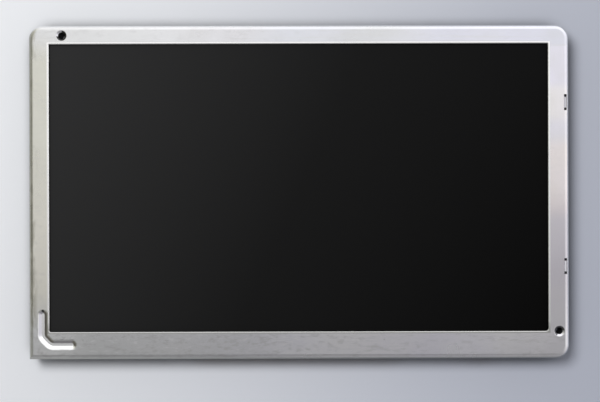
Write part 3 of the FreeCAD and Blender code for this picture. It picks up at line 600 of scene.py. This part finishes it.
def moulded(name, colour, roughness, grain_scale=2.6, relief=0.12, shade=0.90, shaded_bores=()):
    """Plastic, foam or tape: fine grain, slight unevenness of tone, and painted shade in the bores given."""
    material, tree, shader = new_material(name)
    grain = noise(tree, grain_scale)
    tone = noise(tree, moulded_tone_scale)
    made = blend(tree, ramp(tree, tone, *noise_span), colour, shaded(colour, shade))
    # Painted shade down each bore given
    for x, y in shaded_bores:
        made = blend(tree, ramp(tree, from_axis(tree, x, y), *bore_shade_reach), made, shaded(colour, bore_shade))
    smoothest = roughness - moulded_roughness_fall
    roughest = roughness + moulded_roughness_rise
    finish_shader(tree, shader, made, ramp(tree, grain, *noise_span, smoothest, roughest), grain, relief)
    return material


# Electronics

def solder_mask():
    """Green board: groups of tracks under the mask, along X or Y by turns, and a scatter of tinned vias."""
    material, tree, shader = new_material("solder_mask")
    axes = axes_mm(tree)
    group = cells(tree, track_group_scale, "Color", distance="CHEBYCHEV")
    group = add(tree, "SeparateColor", {"Color": group}).outputs
    along_x, along_y = (stripes(tree, axes[axis], track_pitch, track_width) for axis in ("Y", "X"))
    runs_along_y = math_node(tree, "GREATER_THAN", group["Red"], track_groups_along_x)
    has_tracks = math_node(tree, "GREATER_THAN", group["Green"], track_groups_bare)
    line = product(tree, between(tree, runs_along_y, along_x, along_y), has_tracks)
    colour = blend(tree, line, mask_tone, track_tone)
    vias = ramp(tree, cells(tree, via_scale), *via_size)
    colour = blend(tree, vias, colour, via_tone)
    tree.links.new(vias, shader.inputs["Metallic"])
    height = math_node(tree, "ADD", line, vias)
    roughness = ramp(tree, line, 0, 1, mask_roughness, track_roughness)
    finish_shader(tree, shader, colour, roughness, height, mask_relief, mask_relief_depth)
    return material


def polyimide():
    """Amber flexible circuit with a copper hatch showing through its cover film."""
    material, tree, shader = new_material("polyimide")
    axes = axes_mm(tree)
    diagonals = [math_node(tree, kind, axes["X"], axes["Y"]) for kind in ("ADD", "SUBTRACT")]
    hatch = [stripes(tree, diagonal, hatch_pitch, hatch_width) for diagonal in diagonals]
    track = math_node(tree, "MAXIMUM", *hatch)
    colour = blend(tree, track, polyimide_tone, hatch_tone)
    roughness = ramp(tree, track, 0, 1, polyimide_roughness, hatch_roughness)
    finish_shader(tree, shader, colour, roughness, track, polyimide_relief)
    return material


def chip(node):
    """Black moulded body with a speckle; the leads beyond it are tinned."""
    material, tree, shader = new_material(f"chip_{node}")
    low, high = box_mm(node)
    long_sides_only = high[0] - low[0] > high[1] - low[1] + lead_reach / 2
    inset = (0 if long_sides_only else lead_reach, lead_reach)
    body_low = [low[axis] + inset[axis] for axis in (0, 1)]
    body_high = [high[axis] - inset[axis] for axis in (0, 1)]
    lead = ramp(tree, outside_box(tree, body_low, body_high), 0.0, edge_blur)
    grain = noise(tree, epoxy_grain)
    colour = blend(tree, lead, blend(tree, grain, *epoxy_tones), lead_tone)
    tree.links.new(lead, shader.inputs["Metallic"])
    roughness = ramp(tree, lead, 0, 1, epoxy_roughness, tin_roughness)
    finish_shader(tree, shader, colour, roughness, grain, epoxy_relief)
    return material


def capacitor_body():
    """Tan ceramic with tinned ends."""
    material, tree, shader = new_material("capacitor_body")
    low, high = box_mm("capacitor_1")
    middle = (low[0] + high[0]) / 2
    offset = math_node(tree, "ABSOLUTE", math_node(tree, "SUBTRACT", axes_mm(tree)["X"], middle))
    half_body = (high[0] - low[0]) / 2 - terminal_length
    end = ramp(tree, offset, half_body - edge_blur, half_body + edge_blur)
    grain = noise(tree, ceramic_grain)
    colour = blend(tree, end, blend(tree, grain, *ceramic_tones), tin_tone)
    tree.links.new(end, shader.inputs["Metallic"])
    finish_shader(tree, shader, colour, ramp(tree, end, 0, 1, ceramic_roughness, tin_roughness), grain)
    return material


def flex_socket():
    """Ivory connector with a dark latch bar along its rear."""
    material, tree, shader = new_material("connector_plastic")
    y = axes_mm(tree)["Y"]
    rear = box_mm("source_connector")[1][1]
    latch_start = rear - latch_depth
    latch = ramp(tree, y, latch_start - edge_blur, latch_start + edge_blur)
    in_row = ramp(tree, y, rear + 2 * edge_blur, rear + edge_blur)
    grain = noise(tree, ivory_grain)
    colour = blend(tree, product(tree, latch, in_row), blend(tree, grain, *ivory_tones), latch_tone)
    finish_shader(tree, shader, colour, ramp(tree, grain, *noise_span, *ivory_roughness), grain)
    return material


def coil_core():
    """Dark ferrite with the copper winding showing in its ring."""
    material, tree, shader = new_material("coil_core")
    low, high = box_mm("power_coil")
    radius = from_axis(tree, (low[0] + high[0]) / 2, (low[1] + high[1]) / 2)
    past_inner = ramp(tree, radius, coil_ring_inner - edge_blur, coil_ring_inner + edge_blur)
    within_outer = ramp(tree, radius, coil_ring_outer + 2 * edge_blur, coil_ring_outer)
    grain = noise(tree, *ferrite_noise)
    ferrite = blend(tree, grain, *ferrite_tones)
    colour = blend(tree, product(tree, past_inner, within_outer), ferrite, winding_tone)
    roughness = ramp(tree, grain, *noise_span, *ferrite_roughness)
    finish_shader(tree, shader, colour, roughness, grain, ferrite_relief)
    return material


def resistor_body():
    """Dark body with an uneven glaze."""
    material, tree, shader = new_material("resistor_body")
    grain = noise(tree, glaze_grain)
    colour = blend(tree, grain, *glaze_tones)
    finish_shader(tree, shader, colour, ramp(tree, grain, *noise_span, *glaze_roughness), grain)
    return material


materials = {
    "bezel_steel": bezel_steel(),
    "chassis_steel": chassis_steel(),
    "shield_steel": plated("shield_steel", (0.76, 0.755, 0.735, 1), (0.68, 0.675, 0.655, 1), 0.24, 0.36,
                           (0.05, 2.2, 2.2)),
    "screw_steel": plated("screw_steel", (0.40, 0.395, 0.38, 1), (0.30, 0.295, 0.28, 1), 0.22, 0.36,
                          (1.5, 1.5, 1.5)),
    "contact_metal": plated("contact_metal", (0.83, 0.62, 0.26, 1), (0.72, 0.52, 0.20, 1), 0.20, 0.30,
                            (0.4, 3.0, 3.0)),
    "frame_plastic": moulded("frame_plastic", (0.70, 0.685, 0.735, 1), 0.48, shaded_bores=mount_axes()),
    "touch_film": screen_film(),
    "foam": moulded("foam", (0.020, 0.020, 0.021, 1), 0.88, grain_scale=1.8, relief=0.6, shade=0.6),
    "adhesive": moulded("adhesive", (0.030, 0.030, 0.030, 1), 0.60),
    "polarizer": sheet("polarizer", (0.012, 0.012, 0.014, 1), 0.22),
    "optical_film": sheet("optical_film", (0.84, 0.84, 0.84, 1), 0.45),
    "acrylic": sheet("acrylic", (0.80, 0.85, 0.84, 1), 0.12, Transmission_Weight=0.6),
    "clear_glass": sheet("clear_glass", (0.62, 0.74, 0.70, 1), 0.05, Transmission_Weight=0.7),
    "polyimide": polyimide(),
    "solder_mask": solder_mask(),
    "insulator": moulded("insulator", (0.022, 0.022, 0.023, 1), 0.42, grain_scale=1.4, relief=0.1),
    "bare_chip": sheet("bare_chip", (0.055, 0.055, 0.065, 1), 0.16),
    "connector_plastic": flex_socket(),
    "led_body": moulded("led_body", (0.80, 0.80, 0.72, 1), 0.35),
    "capacitor_body": capacitor_body(),
    "coil_core": coil_core(),
    "resistor_body": resistor_body(),
    "tinned_end": plated("tinned_end", tin_tone, (0.64, 0.63, 0.60, 1), 0.24, 0.34, (1.5, 1.5, 1.5)),
}


def dress_nodes():
    """Each node takes the material of its record slot; each leaded chip has one of its own."""
    for name, piece in nodes.items():
        slot = slot_of[name]
        piece.data.materials.clear()
        piece.data.materials.append(chip(name) if slot == "chip_epoxy" else materials[slot])


# Small parts on the board

def spread(low, high, count):
    """Middles of count equal shares of the way from low to high."""
    return [low + (high - low) * (index + 0.5) / count for index in range(count)]


def passive_places():
    """Middle of each small part in XY, in mm, and whether it lies along X."""
    socket_low, socket_high = box_mm("source_connector")
    shield_low = box_mm("shield_cover")[0]
    row_y = (socket_high[1] + shield_low[1]) / 2
    for x in spread(socket_low[0], socket_high[0], passives_by_socket):
        yield x, row_y, False
    capacitors_low = box_mm("capacitor_1")[0]
    capacitors_high = box_mm("capacitor_6")[1]
    for x in spread(capacitors_high[0], shield_low[0], passive_columns_by_capacitors):
        for y in spread(capacitors_low[1], capacitors_high[1], passive_rows_by_capacitors):
            yield x, y, True
    chip_low, chip_high = box_mm("touch_controller")
    stack_x = (chip_high[0] + box_mm("touch_connector")[0][0]) / 2
    for y in spread(chip_low[1], chip_high[1], passives_by_touch_chip):
        yield stack_x, y, True


def add_block(shape, middle, size, material_index):
    made = bmesh.ops.create_cube(shape, size=1.0)["verts"]
    bmesh.ops.scale(shape, vec=Vector(size) * MM, verts=made)
    bmesh.ops.translate(shape, vec=Vector(middle) * MM, verts=made)
    for face in {face for vert in made for face in vert.link_faces}:
        face.material_index = material_index


def add_passive(shape, x, y, board_z, along_x):
    """One chip resistor: a body held between two tinned end caps, which sit on the board."""
    length, width, height = passive_size
    z = board_z - height / 2
    body = (length - passive_end, width - 2 * passive_step, height - 2 * passive_step)
    cap = (passive_end, width, height)
    cap_offset = (length - passive_end) / 2
    for offset, size, material_index in ((0.0, body, 0), (cap_offset, cap, 1), (-cap_offset, cap, 1)):
        if along_x:
            add_block(shape, (x + offset, y, z), size, material_index)
        else:
            add_block(shape, (x, y + offset, z), (size[1], size[0], size[2]), material_index)


def make_passives():
    board_z = box_mm("control_board")[0][2]
    shape = bmesh.new()
    for x, y, along_x in passive_places():
        add_passive(shape, x, y, board_z, along_x)
    bmesh.ops.bevel(shape, geom=shape.edges[:], offset=passive_edge * MM, segments=passive_edge_steps,
                    affect="EDGES")
    mesh = bpy.data.meshes.new("board_resistors")
    shape.to_mesh(mesh)
    shape.free()
    for name in ("resistor_body", "tinned_end"):
        mesh.materials.append(materials[name])
    resistors = bpy.data.objects.new("board_resistors", mesh)
    bpy.context.collection.objects.link(resistors)
    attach(resistors, "root")


# Studio

def make_floor():
    half = floor_size / 2
    mesh = bpy.data.meshes.new("floor")
    corners = [(-half, -half, 0), (half, -half, 0), (half, half, 0), (-half, half, 0)]
    mesh.from_pydata(corners, [], [(0, 1, 2, 3)])
    floor = bpy.data.objects.new("floor", mesh)
    bpy.context.collection.objects.link(floor)
    material, tree, shader = new_material("floor", Roughness=floor_roughness, Specular_IOR_Level=floor_shine)
    # Painted light: the floor's colour grows paler towards the key light
    across = dot(tree, add(tree, "TexCoord").outputs["Object"], (1, floor_fade_turn, 0))
    colour = blend(tree, ramp(tree, across, *floor_fade), floor_near_key, floor_far)
    # Painted shadow: the floor's colour darkens where something stands close over it
    openness = add(tree, "AmbientOcclusion", {"Distance": halo_reach}).outputs["AO"]
    shadow_halo = ramp(tree, openness, *halo_span, *halo_shades)
    colour = add(tree, "VectorMath", {0: colour, "Scale": shadow_halo}, operation="SCALE").outputs["Vector"]
    tree.links.new(colour, shader.inputs["Base Color"])
    mesh.materials.append(material)


def room_light(tree):
    """Colour and brightness of the room by direction: a graded ceiling over walls bright at right and far."""
    direction = add(tree, "TexCoord").outputs["Generated"]
    axes = add(tree, "SeparateXYZ", {"Vector": direction}).outputs
    ceiling = ramp(tree, dot(tree, direction, (ceiling_turn, 1, 0)), *ceiling_span, *ceiling_levels)
    level = vector_node(tree, "MULTIPLY", direction, (1, 1, 0))["Vector"]
    level = vector_node(tree, "NORMALIZE", level)["Vector"]
    walls = math_node(tree, "ADD", dot(tree, level, wall_slope), wall_level)
    least = math_node(tree, "ADD", dot(tree, level, wall_near_rise), wall_least)
    walls = math_node(tree, "MAXIMUM", walls, least)
    horizon = between(tree, horizon_share, walls, horizon_level)
    upper = between(tree, ramp(tree, axes["Z"], *wall_top_span), walls, ceiling)
    strength = between(tree, ramp(tree, axes["Z"], *horizon_span), horizon, upper)
    colour = blend(tree, ramp(tree, axes["X"], *room_side_span), room_left_colour, room_right_colour)
    return colour, strength


def make_world():
    """Even fill for matt surfaces, without light thrown on by metal; camera, metal and glass see the room."""
    world = bpy.data.worlds.new("studio")
    bpy.context.scene.world = world
    world.use_nodes = True
    tree = world.node_tree
    tree.nodes.clear()
    path = add(tree, "LightPath").outputs
    colour, strength = room_light(tree)
    before_matt_bounce = math_node(tree, "LESS_THAN", path["Diffuse Depth"], 1)
    room = add(tree, "Background", {"Color": colour, "Strength": product(tree, strength, before_matt_bounce)})
    fill = add(tree, "Background", {"Color": fill_colour, "Strength": fill_strength})
    sees_room = math_node(tree, "MAXIMUM", path["Is Camera Ray"], path["Is Glossy Ray"])
    sees_room = math_node(tree, "MAXIMUM", sees_room, path["Is Transmission Ray"])
    mixed = add(tree, "MixShader", {0: sees_room, 1: fill.outputs[0], 2: room.outputs[0]})
    add(tree, "OutputWorld", {"Surface": mixed.outputs[0]})


def make_key():
    data = bpy.data.lights.new("key", "AREA")
    data.shape = "DISK"
    data.size = key_size
    data.energy = key_power
    key = bpy.data.objects.new("key", data)
    key.location = key_place
    key.rotation_mode = "QUATERNION"
    key.rotation_quaternion = (-Vector(key_place)).to_track_quat("-Z", "Y")
    key.visible_glossy = False
    key.visible_camera = False
    bpy.context.collection.objects.link(key)


def make_camera():
    """Looks straight down on the screen, with the outline where the picture has it."""
    low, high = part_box("front_bezel")
    metres_per_px = (high[0] - low[0]) / (outline_right_px - outline_left_px)
    distance = picture_width * metres_per_px * lens_mm / sensor_mm
    outline_centre_x_px = (outline_left_px + outline_right_px) / 2
    data = bpy.data.cameras.new("camera")
    data.lens = lens_mm
    data.sensor_width = sensor_mm
    camera = bpy.data.objects.new("camera", data)
    camera.location = (
        (low[0] + high[0]) / 2 + (picture_width / 2 - outline_centre_x_px) * metres_per_px,
        (low[1] + high[1]) / 2 - (picture_height / 2 - outline_centre_y_px) * metres_per_px,
        high[2] + distance,
    )
    camera.rotation_euler = (0, 0, -math.radians(roll_deg))
    bpy.context.collection.objects.link(camera)
    bpy.context.scene.camera = camera


dress_nodes()
make_passives()
make_floor()
make_world()
make_key()
make_camera()
bpy.context.scene.view_settings.view_transform = "Standard"
